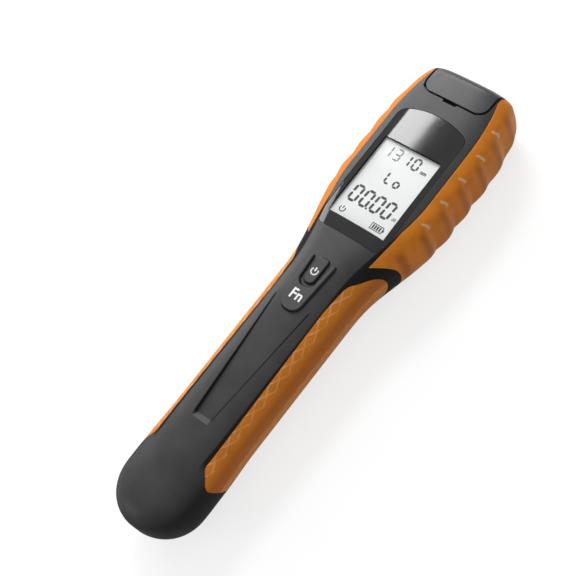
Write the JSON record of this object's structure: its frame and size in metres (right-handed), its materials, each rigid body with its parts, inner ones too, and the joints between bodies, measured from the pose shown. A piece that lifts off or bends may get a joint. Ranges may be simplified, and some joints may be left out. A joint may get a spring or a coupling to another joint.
{
  "type": "optical power meter",
  "caption": "Hand-held optical power meter with a display, two keys, soft side grips, a hinged port cap over two ferrule ports and a battery door.",
  "frame": {"origin": "under the middle of the body, on the plane that its back rests on", "axes": "+Y along the body towards the ports, +Z out of the display, X across it"},
  "size_m": [0.0464, 0.1999, 0.0286],
  "materials": {
    "housing_plastic": "satin moulded plastic with a fine spark texture",
    "cap_plastic": "satin",
    "door_plastic": "satin",
    "panel_plastic": "satin",
    "grip_rubber": "matt, softly textured",
    "window": "clear and polished",
    "lcd": "pale, with dark digits",
    "diffuser": "milky",
    "key_plastic": "satin",
    "power_key_plastic": "satin",
    "switch_plastic": "moulded",
    "circuit_board": "solder mask",
    "port_metal": "nickel plated",
    "sensor_can": "satin",
    "laser_brass": "turned",
    "steel": "drawn",
    "spring_steel": "nickel plated",
    "screw_steel": "black zinc",
    "cell": "wrapped in a plain sleeve"
  },
  "bodies": {
    "housing": {"front_cover": "housing_plastic", "rear_cover": "housing_plastic", "head_grip_right": "grip_rubber", "head_grip_left": "grip_rubber", "handle_grip_right": "grip_rubber", "handle_grip_left": "grip_rubber", "cap_hinge_pin": "steel", "port_panel": "panel_plastic", "detector_port": "port_metal", "laser_port": "port_metal", "photodiode": "sensor_can", "laser_module": "laser_brass", "display_window": "window", "lcd_module": "lcd", "lcd_backlight": "diffuser", "power_switch": "switch_plastic", "function_switch": "switch_plastic", "main_board": "circuit_board", "battery_1": "cell", "battery_2": "cell", "battery_spring": "spring_steel", "battery_contact": "spring_steel", "case_screws": "screw_steel"},
    "cap": {"port_cap": "cap_plastic"},
    "door": {"battery_door": "door_plastic"},
    "power_button": {"power_key": "power_key_plastic"},
    "function_button": {"function_key": "key_plastic"}
  },
  "joints": [
    {"name": "cap_hinge", "type": "hinge", "parent": "housing", "child": "cap", "pos_m": [0, 0.0963, 0.0033], "axis": [-1, 0, 0], "range_deg": [0, 110]},
    {"name": "door_hinge", "type": "hinge", "parent": "housing", "child": "door", "pos_m": [0, -0.085, 0], "axis": [-1, 0, 0], "range_deg": [0, 60]},
    {"name": "power_press", "type": "slide", "parent": "housing", "child": "power_button", "axis": [0, 0, -1], "range_m": [0, 0.0005], "stiffness_N_per_m": 600},
    {"name": "function_press", "type": "slide", "parent": "housing", "child": "function_button", "axis": [0, 0, -1], "range_m": [0, 0.0005], "stiffness_N_per_m": 600}
  ]
}
